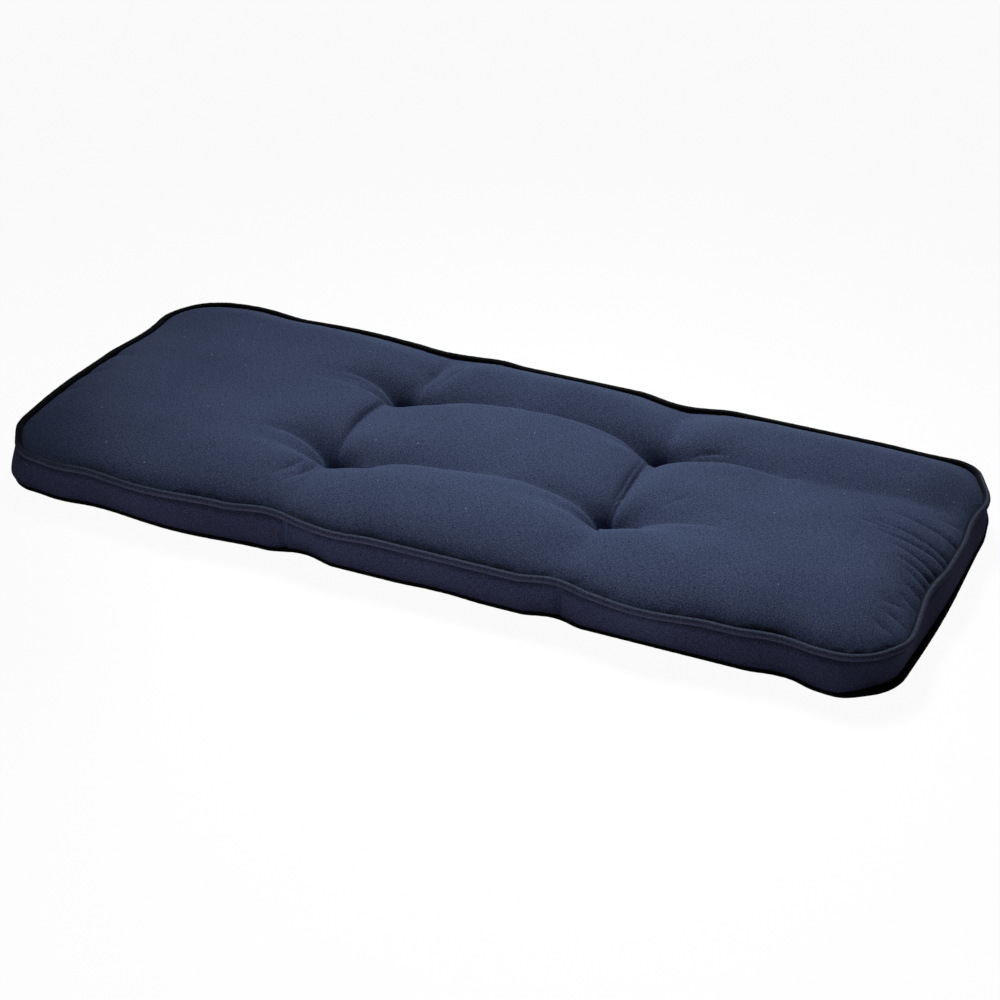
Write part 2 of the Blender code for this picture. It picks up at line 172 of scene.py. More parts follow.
# Small gathers in the cloth itself.  Each is a narrow valley of one depth, in metres, that comes in
# gently at its start and goes out again at its end, unless it runs into the seam there.
Gather = collections.namedtuple("Gather", "start end bow depth left_reach right_reach into_seam")
GATHERS = (
    Gather(Place(0.470, 0.052), Place(0.560, 0.037), 0.000, 0.0042, 0.0060, 0.0026, True),
    Gather(Place(0.440, 0.013), Place(0.506, 0.003), 0.001, 0.0022, 0.0050, 0.0026, False),
    Gather(Place(0.460, 0.021), Place(0.560, 0.003), 0.001, 0.0042, 0.0055, 0.0026, True),
    Gather(Place(0.468, -0.002), Place(0.560, -0.010), 0.001, 0.0040, 0.0055, 0.0026, True),
    Gather(Place(0.492, -0.020), Place(0.560, -0.035), 0.001, 0.0038, 0.0055, 0.0026, True),
    Gather(Place(0.510, -0.042), Place(0.560, -0.050), 0.000, 0.0030, 0.0050, 0.0026, True),
    Gather(Place(0.526, -0.058), Place(0.560, -0.066), 0.000, 0.0026, 0.0050, 0.0028, True),
    Gather(Place(0.520, 0.072), Place(0.560, 0.074), 0.000, 0.0020, 0.0080, 0.0050, True),
    Gather(Place(0.520, -0.136), Place(0.548, -0.124), 0.000, 0.0024, 0.0070, 0.0034, False),
    Gather(Place(0.524, -0.148), Place(0.556, -0.154), 0.000, 0.0022, 0.0060, 0.0034, False),
    Gather(Place(0.534, -0.082), Place(0.560, -0.088), 0.000, 0.0024, 0.0060, 0.0034, True),
    Gather(Place(0.532, -0.106), Place(0.560, -0.114), 0.000, 0.0022, 0.0060, 0.0034, True),
    Gather(Place(0.520, -0.168), Place(0.546, -0.180), 0.000, 0.0022, 0.0060, 0.0034, False),
    Gather(Place(-0.504, 0.018), Place(-0.560, 0.046), 0.002, 0.0028, 0.0060, 0.0060, True),
    Gather(Place(-0.514, -0.016), Place(-0.560, -0.020), 0.002, 0.0028, 0.0040, 0.0070, True),
    Gather(Place(-0.518, -0.070), Place(-0.560, -0.065), 0.002, 0.0024, 0.0040, 0.0070, True),
    Gather(Place(0.208, 0.100), Place(0.260, 0.109), 0.004, 0.0026, 0.0050, 0.0026, False),
    Gather(Place(-0.166, -0.112), Place(-0.186, -0.178), 0.003, 0.0046, 0.0050, 0.0080, False),
    Gather(Place(-0.184, -0.118), Place(-0.206, -0.176), 0.003, 0.0032, 0.0050, 0.0070, False),
    Gather(Place(-0.206, 0.084), Place(-0.240, 0.074), -0.002, 0.0016, 0.0030, 0.0050, False),
    Gather(Place(-0.150, 0.100), Place(-0.148, 0.196), 0.003, 0.0056, 0.0090, 0.0040, False),
    Gather(Place(-0.134, 0.104), Place(-0.116, 0.210), 0.002, 0.0050, 0.0080, 0.0045, False),
    Gather(Place(-0.172, 0.081), Place(-0.170, -0.074), -0.007, 0.0046, 0.0040, 0.0024, False),
    Gather(Place(0.174, 0.084), Place(0.185, -0.090), -0.002, 0.0080, 0.0022, 0.0034, False),
    Gather(Place(0.168, 0.074), Place(0.179, -0.082), -0.002, 0.0030, 0.0020, 0.0030, False),
    Gather(Place(0.232, -0.050), Place(0.270, -0.020), 0.002, 0.0014, 0.0060, 0.0050, False),
    Gather(Place(-0.112, 0.060), Place(-0.106, -0.050), 0.005, 0.0022, 0.0050, 0.0110, False),
    Gather(Place(-0.084, 0.056), Place(-0.076, -0.030), 0.005, 0.0018, 0.0050, 0.0110, False),
)
GATHER_COME_IN = 0.45  # the part of its length over which a gather comes in, and goes out
GATHER_FULLNESS = 0.8  # under one, so that it is nearly full before then

# The stuffing is a little lumpy, away from the seam, and the seam puckers a little at each stitch.
Lump = collections.namedtuple("Lump", "size height seed")
LUMPS = (Lump(0.110, 0.0016, 3.0), Lump(0.042, 0.0007, 4.0), Lump(0.017, 0.00025, 5.0))
LUMP_COME_IN = 0.050
PUCKER_SIZE = 0.011
PUCKER_DEPTH = 0.0009
PUCKER_REACH = 0.016
PUCKER_COME_IN = 0.004
PUCKER_SEED = 9.0

# The block that the body is shaped from.  Its top is cut finer, and finer again near the tufts,
# gathers and seams, so that it can hold them.
CELLS_LONG = 88
CELLS_DEEP = 36
SIDE_LEVELS = (0.10, 0.30, 0.50, 0.70, 0.90)
TOP_CUTS = 2
FINE_REACH_TUFT = 0.030
FINE_REACH_FOLD = 0.009
FINE_REACH_SEAM = 0.009
SLIGHT = 1e-6


def bell(distance, reach):
    """One at the middle, falling smoothly to nothing at the reach."""
    share = np.minimum(np.abs(distance) / reach, 1.0)
    return (1.0 - share**2) ** 2


def pulled(rows, ends, x, y, column):
    """What the rows on the two ends, or else on the two sides, add up to at each point."""
    total = np.zeros_like(x)
    for row in rows:
        if ends == (row.edge in ("left", "right")):
            along = y if ends else x
            here = (x > 0) == (row.edge == "right") if ends else (y > 0) == (row.edge == "back")
            total += here * getattr(row, column) * bell(along - row.along, row.reach)
    return total


def plan(seam, x, y, inset):
    """Points of the plain rectangle, moved to where rounded corners and drawn-in edges put them."""
    half_x = LENGTH / 2 - inset
    half_y = DEPTH / 2 - inset
    corner = seam.corner - inset
    into_x = np.maximum(np.abs(x) - half_x + corner, 0.0) / corner
    into_y = np.maximum(np.abs(y) - half_y + corner, 0.0) / corner
    out_x = np.minimum(np.abs(x), half_x - corner) + corner * into_x * np.sqrt(1 - into_y**2 / 2)
    out_y = np.minimum(np.abs(y), half_y - corner) + corner * into_y * np.sqrt(1 - into_x**2 / 2)
    out_x -= pulled(seam.pulls, True, x, y, "inward") * (np.abs(x) / half_x) ** EDGE_FADE
    out_y -= pulled(seam.pulls, False, x, y, "inward") * (np.abs(y) / half_y) ** EDGE_FADE
    return np.copysign(out_x, x), np.copysign(out_y, y)


def seam_height(seam, x, y):
    """Height of the seam next to each point, with the places where the edge is pulled up."""
    lift = pulled(seam.pulls, True, x, y, "lift") * (2 * np.abs(x) / LENGTH) ** EDGE_FADE
    lift += pulled(seam.pulls, False, x, y, "lift") * (2 * np.abs(y) / DEPTH) ** EDGE_FADE
    return seam.height + lift


def dip(away):
    """The cross-section of a dip: one at its floor, with a narrow round bed and long flanks."""
    return np.exp(DIP_BED - np.hypot(away, DIP_BED))


def beside(x, y, row):
    """How far each point lies from a bowed line, in its reaches, and how far along it that is."""
    run_x = row.end.x - row.start.x
    run_y = row.end.y - row.start.y
    length = math.hypot(run_x, run_y)
    part = ((x - row.start.x) * run_x + (y - row.start.y) * run_y) / length**2
    part = np.clip(part, 0.0, 1.0)
    bow = row.bow * 4.0 * part * (1.0 - part)
    off_x = x - (row.start.x + run_x * part - run_y / length * bow)
    off_y = y - (row.start.y + run_y * part + run_x / length * bow)
    to_left = run_x * off_y - run_y * off_x > 0
    reach = np.where(to_left, row.left_reach, row.right_reach)
    return np.hypot(off_x, off_y) / reach, part


def wander(x, y, size, seed):
    """Smooth random lumps of about one size, from -1 to 1."""
    points = zip(x / size, y / size)
    return np.array([noise.noise(Vector((across, along, seed))) for across, along in points])


def rise_of(x, y):
    """How much of the crown the rounded shoulders leave at each point, from 0 at the seam to 1."""
    rise = np.ones_like(x)
    roll = np.ones_like(x)
    for place, half, low_side, high_side in (
        (x, LENGTH / 2, LEFT_SHOULDER, RIGHT_SHOULDER),
        (y, DEPTH / 2, FRONT_SHOULDER, BACK_SHOULDER),
    ):
        distance = np.maximum(half - PANEL_INSET - np.abs(place), 0.0)
        sides = zip(low_side, high_side)
        width, power, roll_reach = [np.where(place > 0, high, low) for low, high in sides]
        rise *= 1.0 - (1.0 - np.minimum(distance / width, 1.0)) ** power
        roll *= 1.0 - np.exp(-distance / roll_reach)
    return rise + (roll - rise) * ROLL / CROWN


def top_height(x, y):
    """Height of the stuffed and tufted top at each point of the plain rectangle."""
    shares = []
    for tuft in TUFTS:
        reach_y = np.where(y > tuft.y, TUFT_REACH_BACK, TUFT_REACH_FRONT)
        away = np.hypot((x - tuft.x) / TUFT_REACH_SIDEWAYS, (y - tuft.y) / reach_y)
        shares.append(TUFT_SHARE * dip(away))
    for trough in TROUGHS:
        away, part = beside(x, y, trough)
        shares.append((trough.first + (trough.last - trough.first) * part) * dip(away))
    taken = sum(share**BLEND for share in shares) ** (1.0 / BLEND)
    height = seam_height(TOP_SEAM, x, y) - PANEL_DROP
    height += (CROWN + PANEL_DROP) * rise_of(x, y) * (1.0 - taken)
    for tuft in TUFTS:
        height -= FUNNEL_DEPTH * dip(np.hypot(x - tuft.x, y - tuft.y) / FUNNEL_REACH)
    height = np.maximum(height, PIT_LEVEL + (height - PIT_LEVEL) / PIT_ROUNDING)
    for gather in GATHERS:
        away, part = beside(x, y, gather)
        fullness = np.clip(part / GATHER_COME_IN, 0.0, 1.0)
        if not gather.into_seam:
            fullness *= np.clip((1.0 - part) / GATHER_COME_IN, 0.0, 1.0)
        height -= gather.depth * fullness**GATHER_FULLNESS * dip(away)
    to_edge = np.minimum(LENGTH / 2 - np.abs(x), DEPTH / 2 - np.abs(y)) - PANEL_INSET
    for lump in LUMPS:
        come_in = np.clip(to_edge / LUMP_COME_IN, 0.0, 1.0)
        height += lump.height * wander(x, y, lump.size, lump.seed) * come_in
    pucker = wander(x, y, PUCKER_SIZE, PUCKER_SEED) * np.exp(-to_edge / PUCKER_REACH)
    return height + PUCKER_DEPTH * pucker * np.clip(to_edge / PUCKER_COME_IN, 0.0, 1.0)


def underside_height(x, y):
    """Height of the underside: flat where it rests, rising to the seam and at each tie."""
    to_end = (LENGTH / 2 - PANEL_INSET - np.abs(x)) / UNDERSIDE_SHOULDER
    to_side = (DEPTH / 2 - PANEL_INSET - np.abs(y)) / UNDERSIDE_SHOULDER
    edge = np.maximum(1.0 - np.minimum(to_end, to_side), 0.0) ** 2
    ties = sum(bell(np.hypot(x - tuft.x, y - tuft.y), UNDERSIDE_TUFT_REACH) for tuft in TUFTS)
    return BOTTOM_SEAM.height * edge + UNDERSIDE_TUFT_DEPTH * ties


def strip_offset(level, x, y):
    """How far the boxing's outer face stands out from the seam line, from bottom (0) to top (1)."""
    at_left = np.clip(1.0 - (x + LENGTH / 2) / END_FADE, 0.0, 1.0)
    bulge = STRIP_BULGE + STRIP_BULGE_LEFT * at_left
    at_right = np.clip(1.0 + (x - LENGTH / 2) / END_FADE, 0.0, 1.0)
    at_right *= np.clip(TUCK_MIDDLE - y / TUCK_LENGTH, TUCK_FAR, 1.0)
    bottom = STRIP_TUCK_BOTTOM + (STRIP_TUCK_RIGHT - STRIP_TUCK_BOTTOM) * at_right
    sunk = level**STRIP_SAG
    return bulge * 4.0 * sunk * (1.0 - sunk) - bottom - (STRIP_TUCK_TOP - bottom) * level


# The upright pinches that the tuft columns leave in the boxing.
Pinch = collections.namedtuple("Pinch", "edge along reach inward")
PINCHES = (
    Pinch("front", -0.160, 0.006, 0.0070),
    Pinch("front", 0.184, 0.007, 0.0050),
    Pinch("back", -0.168, 0.013, 0.0030),
    Pinch("back", 0.160, 0.013, 0.0030),
)


def side_point(x, y, level, inset):
    """Points of the upright side between the two seams, drawn in at the pinches."""
    low_x, low_y = plan(BOTTOM_SEAM, x, y, inset)
    high_x, high_y = plan(TOP_SEAM, x, y, inset)
    out_x = low_x + (high_x - low_x) * level
    out_y = low_y + (high_y - low_y) * level
    for pinch in PINCHES:
        here = (y > 0) == (pinch.edge == "back")
        depth = here * pinch.inward * bell(x - pinch.along, pinch.reach)
        out_y -= np.copysign(depth * 4.0 * level * (1.0 - level), y)
    bottom = BOTTOM_SEAM.height
    return out_x, out_y, bottom + (seam_height(TOP_SEAM, x, y) - bottom) * level


def needs_fine(x, y):
    """Whether the top is to be cut finer at each point."""
    fine = np.minimum(LENGTH / 2 - np.abs(x), DEPTH / 2 - np.abs(y)) < PANEL_INSET + FINE_REACH_SEAM
    for tuft in TUFTS:
        fine |= np.hypot(x - tuft.x, y - tuft.y) < FINE_REACH_TUFT
    for fold in GATHERS + TROUGHS:
        if min(fold.left_reach, fold.right_reach) < 2 * FINE_REACH_FOLD:
            around = fold._replace(left_reach=FINE_REACH_FOLD, right_reach=FINE_REACH_FOLD)
            away = beside(x, y, around)[0]
            fine |= away < 1.0
    return fine


def cut_block():
    """A block cut into cells, those of its top finer, with the flat cloth's place as its UV map."""
    mesh = bmesh.new()
    bmesh.ops.create_cube(mesh, size=1.0)
    size = (LENGTH - 2 * PANEL_INSET, DEPTH - 2 * PANEL_INSET, 1.0)
    bmesh.ops.scale(mesh, vec=size, verts=mesh.verts)
    bmesh.ops.translate(mesh, vec=(0.0, 0.0, 0.5), verts=mesh.verts)
    stops_x = [size[0] * (cell / CELLS_LONG - 0.5) for cell in range(1, CELLS_LONG)]
    stops_y = [size[1] * (cell / CELLS_DEEP - 0.5) for cell in range(1, CELLS_DEEP)]
    cuts = [((x, 0, 0), (1, 0, 0)) for x in stops_x]
    cuts += [((0, y, 0), (0, 1, 0)) for y in stops_y]
    cuts += [((0, 0, z), (0, 0, 1)) for z in SIDE_LEVELS]
    for place, normal in cuts:
        whole = mesh.verts[:] + mesh.edges[:] + mesh.faces[:]
        bmesh.ops.bisect_plane(mesh, geom=whole, dist=SLIGHT, plane_co=place, plane_no=normal)
    for fine in (False, True):
        lowest = [min(vert.co.z for vert in edge.verts) for edge in mesh.edges]
        top = [edge for edge, z in zip(mesh.edges, lowest) if z > 1.0 - SLIGHT]
        if fine:
            middles = np.array([(edge.verts[0].co + edge.verts[1].co) / 2 for edge in top])
            wanted = needs_fine(middles[:, 0], middles[:, 1])
            top = [edge for edge, here in zip(top, wanted) if here]
        bmesh.ops.subdivide_edges(
            mesh, edges=top, cuts=TOP_CUTS, use_grid_fill=True, use_single_edge=True
        )
    cloth_place = mesh.loops.layers.uv.new("cloth")
    for face in mesh.faces:
        for corner in face.loops:
            corner[cloth_place].uv = corner.vert.co.xy
    return mesh


def finished(name, mesh, placed=None):
    """A named, smooth-shaded object from a modelled mesh, its points put where placed says."""
    data = bpy.data.meshes.new(name)
    mesh.to_mesh(data)
    mesh.free()
    if placed:
        flat = np.empty(3 * len(data.vertices))
        data.vertices.foreach_get("co", flat)
        data.vertices.foreach_set("co", np.stack(placed(*flat.reshape(-1, 3).T), axis=1).ravel())
    data.shade_smooth()
    made = bpy.data.objects.new(name, data)
    bpy.context.scene.collection.objects.link(made)
    return made


def stuffed(x, y, level):
    """The block's points, moved to the top, the underside or the side behind the boxing."""
    behind = BACKING - strip_offset(level, x, y)
    wide_x = x * (LENGTH / 2 - behind) / (LENGTH / 2 - PANEL_INSET)
    wide_y = y * (DEPTH / 2 - behind) / (DEPTH / 2 - PANEL_INSET)
    out_x, out_y, out_z = side_point(wide_x, wide_y, level, behind)
    top = level > 1.0 - SLIGHT
    out_x[top], out_y[top] = plan(TOP_SEAM, x[top], y[top], PANEL_INSET)
    out_z[top] = top_height(x[top], y[top])
    under = level < SLIGHT
    out_x[under], out_y[under] = plan(BOTTOM_SEAM, x[under], y[under], PANEL_INSET)
    out_z[under] = underside_height(x[under], y[under])
    return out_x, out_y, out_z


def node(tree, kind, *feeds, **settings):
    """A new node: its settings are made, then its sockets are fed in order with links or values."""
    made = tree.nodes.new(kind)
    for name, value in settings.items():
        setattr(made, name, value)
    for socket, feed in zip(made.inputs, feeds):
        if isinstance(feed, bpy.types.NodeSocket):
            tree.links.new(feed, socket)
        elif feed is not None:
            socket.default_value = feed
    return made


def math_node(tree, operation, *feeds, clamp=False):
    """The result of one sum."""
    return node(tree, "ShaderNodeMath", *feeds, operation=operation, use_clamp=clamp).outputs[0]


def mixed(tree, share, first, second):
    """A colour between two colours."""
    made = node(tree, "ShaderNodeMix", data_type="RGBA", clamp_factor=True)
    for name, feed in (("Factor", share), ("A", first), ("B", second)):
        sockets = [socket for socket in made.inputs if socket.name == name and socket.enabled]
        if isinstance(feed, bpy.types.NodeSocket):
            tree.links.new(feed, sockets[0])
        else:
            sockets[0].default_value = feed
    return next(socket for socket in made.outputs if socket.enabled)


def new_group(name, inputs, outputs):
    """An empty node group with its named sockets: its tree, its inputs and its output node."""
    tree = bpy.data.node_groups.new(name, "ShaderNodeTree")
    for socket_name, kind in inputs:
        tree.interface.new_socket(socket_name, in_out="INPUT", socket_type="NodeSocket" + kind)
    for socket_name, kind in outputs:
        tree.interface.new_socket(socket_name, in_out="OUTPUT", socket_type="NodeSocket" + kind)
    return tree, tree.nodes.new("NodeGroupInput").outputs, tree.nodes.new("NodeGroupOutput")


def plain_weave():
    """Threads passing over and under each other, as a height and a mask of those on top."""
    tree, given, result = new_group(
        "plain weave",
        [("Cloth Place", "Vector"), ("Threads per Metre", "Float")],
        [("Height", "Float"), ("Warp on Top", "Float"), ("Thread Place", "Vector")],
    )
    scaled = node(tree, "ShaderNodeVectorMath", given["Cloth Place"], operation="SCALE")
    tree.links.new(given["Threads per Metre"], scaled.inputs["Scale"])
    place = node(tree, "ShaderNodeSeparateXYZ", scaled.outputs[0]).outputs
    turns = [math_node(tree, "MULTIPLY", place[axis], math.pi) for axis in (0, 1)]
    waves = [math_node(tree, "SINE", turn) for turn in turns]
    warp_on_top = math_node(tree, "GREATER_THAN", math_node(tree, "MULTIPLY", *waves), 0.0)
    warp, weft = [math_node(tree, "ABSOLUTE", wave) for wave in waves]
    over_warp = math_node(tree, "MULTIPLY", warp, math_node(tree, "MULTIPLY_ADD", weft, 0.5, 0.5))
    over_weft = math_node(tree, "MULTIPLY", weft, math_node(tree, "MULTIPLY_ADD", warp, 0.5, 0.5))
    rise = math_node(tree, "SUBTRACT", over_warp, over_weft)
    height = math_node(tree, "MULTIPLY_ADD", rise, warp_on_top, over_weft)
    tree.links.new(height, result.inputs["Height"])
    tree.links.new(warp_on_top, result.inputs["Warp on Top"])
    tree.links.new(scaled.outputs[0], result.inputs["Thread Place"])
    return tree


# What the yarn's tone is mixed from.
STREAK_STRETCH = 0.10  # the streaks run ten threads long
STREAK_SHARE = 0.60
FIBRES_PER_METRE = 620.0
FIBRE_SHARE = 5.0
PATCHES_PER_METRE = 9.0
PATCH_SHARE = 0.10
TONE_OFFSET = -0.35
TONE_CONTRAST = 2.1
LINT_PER_METRE = 75.0
LINT_SIZE = 0.055
LINT_COLOUR = (0.32, 0.35, 0.42, 1.0)


def heather():
    """Yarn spun from dark and pale fibres: streaks along each thread, soft patches and lint."""
    tree, given, result = new_group(
        "heathered yarn",
        [
            ("Thread Place", "Vector"),
            ("Cloth Place", "Vector"),
            ("Warp on Top", "Float"),
            ("Dark", "Color"),
            ("Middle", "Color"),
            ("Pale", "Color"),
            ("Flecks", "Float"),
        ],
        [("Color", "Color"), ("Tone", "Float")],
    )
    threads = given["Thread Place"]
    tones = []
    for stretch in ((1.0, STREAK_STRETCH, 1.0), (STREAK_STRETCH, 1.0, 1.0)):
        lined_up = node(tree, "ShaderNodeVectorMath", threads, stretch, operation="MULTIPLY")
        streaks = node(tree, "ShaderNodeTexNoise", lined_up.outputs[0], noise_dimensions="2D")
        streaks.inputs["Scale"].default_value = 1.0
        streaks.inputs["Detail"].default_value = 1.0
        streaks.inputs["Roughness"].default_value = 0.6
        tones.append(streaks.outputs["Fac"])
    spread = math_node(tree, "SUBTRACT", *tones)
    yarn = math_node(tree, "MULTIPLY_ADD", spread, given["Warp on Top"], tones[1])
    fibres = node(tree, "ShaderNodeTexNoise", given["Cloth Place"], noise_dimensions="2D")
    fibres.inputs["Scale"].default_value = FIBRES_PER_METRE
    fibres.inputs["Detail"].default_value = 2.0
    patches = node(tree, "ShaderNodeTexNoise", given["Cloth Place"], noise_dimensions="2D")
    patches.inputs["Scale"].default_value = PATCHES_PER_METRE
    patches.inputs["Detail"].default_value = 3.0
    off = math_node(tree, "SUBTRACT", fibres.outputs["Fac"], 0.5)
    slubs = math_node(tree, "MULTIPLY", off, math_node(tree, "ABSOLUTE", off))
    streaked = math_node(tree, "MULTIPLY", yarn, STREAK_SHARE)
    tone = math_node(tree, "MULTIPLY_ADD", slubs, FIBRE_SHARE, streaked)
    patched = math_node(tree, "MULTIPLY_ADD", patches.outputs["Fac"], PATCH_SHARE, TONE_OFFSET)
    tone = math_node(tree, "ADD", tone, patched)
    tone = math_node(tree, "MULTIPLY_ADD", tone, TONE_CONTRAST, 0.5, clamp=True)
    lower = math_node(tree, "MULTIPLY", tone, 2.0, clamp=True)
    upper = math_node(tree, "MULTIPLY_ADD", tone, 2.0, -1.0, clamp=True)
    colour = mixed(tree, lower, given["Dark"], given["Middle"])
    colour = mixed(tree, upper, colour, given["Pale"])
    lint = node(tree, "ShaderNodeTexVoronoi", given["Cloth Place"], voronoi_dimensions="2D")
    lint.inputs["Scale"].default_value = LINT_PER_METRE
    near = math_node(tree, "LESS_THAN", lint.outputs["Distance"], LINT_SIZE)
    chance = node(tree, "ShaderNodeSeparateColor", lint.outputs["Color"]).outputs[0]
    clean = math_node(tree, "SUBTRACT", 1.0, given["Flecks"])
    chosen = math_node(tree, "GREATER_THAN", chance, clean)
    colour = mixed(tree, math_node(tree, "MULTIPLY", near, chosen), colour, LINT_COLOUR)
    tree.links.new(colour, result.inputs["Color"])
    tree.links.new(tone, result.inputs["Tone"])
    return tree


WEAVE = plain_weave()
HEATHER = heather()
Yarn = collections.namedtuple("Yarn", "dark middle pale flecks")
PANEL_YARN = Yarn(
    dark=(0.014, 0.017, 0.044, 1.0),
    middle=(0.046, 0.056, 0.130, 1.0),
    pale=(0.098, 0.112, 0.222, 1.0),
    flecks=0.01,
)
THREADS_PER_METRE = 1350.0
WEAVE_DEPTH = 0.00028
ROUGHNESS = 0.95
ROUGHNESS_PALE = -0.10  # what the palest yarn adds to it


def cloth(name, yarn, turn=0.0, shade_yarn=None, lit_share=None):
    """Heathered plain-weave outdoor cloth, laid along the piece's own cloth map."""
    made = bpy.data.materials.new(name)
    made.use_nodes = True
    tree = made.node_tree
    shader = tree.nodes["Principled BSDF"]
    flat = node(tree, "ShaderNodeUVMap", uv_map="cloth")
    turned = node(tree, "ShaderNodeVectorRotate", flat.outputs[0], rotation_type="Z_AXIS")
    turned.inputs["Angle"].default_value = turn
    weave = node(tree, "ShaderNodeGroup", node_tree=WEAVE)
    tree.links.new(turned.outputs[0], weave.inputs["Cloth Place"])
    weave.inputs["Threads per Metre"].default_value = THREADS_PER_METRE
    heathered = node(tree, "ShaderNodeGroup", node_tree=HEATHER)
    tree.links.new(weave.outputs["Thread Place"], heathered.inputs["Thread Place"])
    tree.links.new(turned.outputs[0], heathered.inputs["Cloth Place"])
    tree.links.new(weave.outputs["Warp on Top"], heathered.inputs["Warp on Top"])
    for socket, value in zip(("Dark", "Middle", "Pale", "Flecks"), yarn):
        heathered.inputs[socket].default_value = value
    # Painted light and shade: where a shade yarn is given, the colour mixes toward it wherever the
    # lit share falls.
    if shade_yarn:
        share = lit_share(tree, flat.outputs[0])
        for socket, dark, pale in zip(("Dark", "Middle", "Pale"), shade_yarn, yarn):
            tree.links.new(mixed(tree, share, dark, pale), heathered.inputs[socket])
    tree.links.new(heathered.outputs["Color"], shader.inputs["Base Color"])
    bump = node(tree, "ShaderNodeBump")
    bump.inputs["Strength"].default_value = 0.6
    bump.inputs["Distance"].default_value = WEAVE_DEPTH
    tree.links.new(weave.outputs["Height"], bump.inputs["Height"])
    tree.links.new(bump.outputs[0], shader.inputs["Normal"])
    tone = heathered.outputs["Tone"]
    rough = math_node(tree, "MULTIPLY_ADD", tone, ROUGHNESS_PALE, ROUGHNESS)
    tree.links.new(rough, shader.inputs["Roughness"])
    shader.inputs["Specular IOR Level"].default_value = 0.10
    shader.inputs["Sheen Weight"].default_value = 0.04
    shader.inputs["Sheen Roughness"].default_value = 0.45
    shader.inputs["Sheen Tint"].default_value = (0.62, 0.70, 0.92, 1.0)
    return made


body = finished("cushion_body", cut_block(), stuffed)
body.data.materials.append(cloth("heathered navy cloth", PANEL_YARN))
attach(body, "root")
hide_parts("filled_cushion")

# ------------------------------------------------------------------------------------------------
# The boxing: one long strip of the same cloth sewn round the side between the two pipings and
# joined into a ring.  The stuffing swells it, and the tufts leave two upright pinches in each long
# side.  The cloth is painted darker in the grooves at its two seams, as painted shade.
# ------------------------------------------------------------------------------------------------

CLOTH_THICKNESS = 0.0012
BORDER_STEP = 0.002
STRIP_ROWS = 16
STRIP_UNDER_PIPING = 0.0020  # the strip is sewn in this far past the middle of each piping
JOIN = 1e-5  # points as near as this are one
STRIP_YARN = Yarn(
    dark=(0.015, 0.017, 0.044, 1.0),
    middle=(0.046, 0.052, 0.116, 1.0),
    pale=(0.088, 0.094, 0.184, 1.0),
    flecks=0.01,
)
# The darker yarn painted into the grooves at the two seams, as shade.
GROOVE_SHADE_YARN = Yarn(
    dark=(0.008, 0.008, 0.022, 1.0),
    middle=(0.024, 0.025, 0.058, 1.0),
    pale=(0.048, 0.048, 0.094, 1.0),
    flecks=0.0,
)
# Painted shade beside each seam: the share of the lit yarn falls from one, at the first of these
# places across the flat strip, to the last share at the second; the rest is the darker shade yarn.
Groove = collections.namedtuple("Groove", "start end last")
SHADED_GROOVES = (Groove(0.0290, 0.0375, 0.0), Groove(0.0110, 0.0, 0.6))


def border():
    """The plain rectangle's border, once round from its front left corner in equal steps."""
    half_x = LENGTH / 2
    half_y = DEPTH / 2
    count = round(4 * (half_x + half_y) / BORDER_STEP)
    along = np.arange(count) * 4 * (half_x + half_y) / count
    corners = np.cumsum([0.0, 2 * half_x, 2 * half_y, 2 * half_x, 2 * half_y])
    x = np.interp(along, corners, [-half_x, half_x, half_x, -half_x, -half_x])
    y = np.interp(along, corners, [-half_y, -half_y, half_y, half_y, -half_y])
    return x, y


BORDER_X, BORDER_Y = border()


def wrapped(name, rows, width, placed):
    """A grid as long as the border and as wide as the flat cloth, wrapped round the cushion."""
    count = len(BORDER_X)
    mesh = bmesh.new()
    bmesh.ops.create_grid(mesh, x_segments=count, y_segments=rows, size=0.5)
    cloth_place = mesh.loops.layers.uv.new("cloth")
    for face in mesh.faces:
        for corner in face.loops:
            u, v = corner.vert.co[:2]
            corner[cloth_place].uv = ((u + 0.5) * count * BORDER_STEP, (v + 0.5) * width)
    flat = np.array([vert.co[:2] for vert in mesh.verts]) + 0.5
    stop = np.round(flat[:, 0] * count).astype(int) % count
    for vert, spot in zip(mesh.verts, np.stack(placed(stop, flat[:, 1]), axis=1)):
        vert.co = spot
    bmesh.ops.remove_doubles(mesh, verts=mesh.verts, dist=JOIN)
    bmesh.ops.recalc_face_normals(mesh, faces=mesh.faces)
    return finished(name, mesh)


def boxing_place(stop, across):
    """The outer face of the boxing, from its lower edge (0) to its upper one (1)."""
    hidden = STRIP_UNDER_PIPING / SEAM_SPACING
    level = hidden + (1.0 - 2 * hidden) * across
    out = strip_offset(level, BORDER_X[stop], BORDER_Y[stop])
    wide_x = BORDER_X[stop] * (LENGTH / 2 + out) / (LENGTH / 2)
    wide_y = BORDER_Y[stop] * (DEPTH / 2 + out) / (DEPTH / 2)
    return side_point(wide_x, wide_y, level, -out)


def lit_middle(tree, cloth_place):
    """Painted shade: one along the middle of the boxing, and less in the grooves at its two seams.
    """
    across = node(tree, "ShaderNodeSeparateXYZ", cloth_place).outputs[1]
    shares = []
    for groove in SHADED_GROOVES:
        kept = node(tree, "ShaderNodeMapRange", across, groove.start, groove.end, 1.0, groove.last)
        kept.interpolation_type = "SMOOTHSTEP"
        shares.append(kept.outputs[0])
    return math_node(tree, "MULTIPLY", *shares)


boxing = wrapped("boxing", STRIP_ROWS, SEAM_SPACING, boxing_place)
thickness = boxing.modifiers.new("cloth thickness", "SOLIDIFY")
thickness.thickness = CLOTH_THICKNESS
thickness.offset = -1.0
# The boxing's seam grooves are painted darker, as shade.
strip_cloth = cloth("boxing cloth", STRIP_YARN, shade_yarn=GROOVE_SHADE_YARN, lit_share=lit_middle)
boxing.data.materials.append(strip_cloth)
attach(boxing, "root")
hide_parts("boxing_strip")
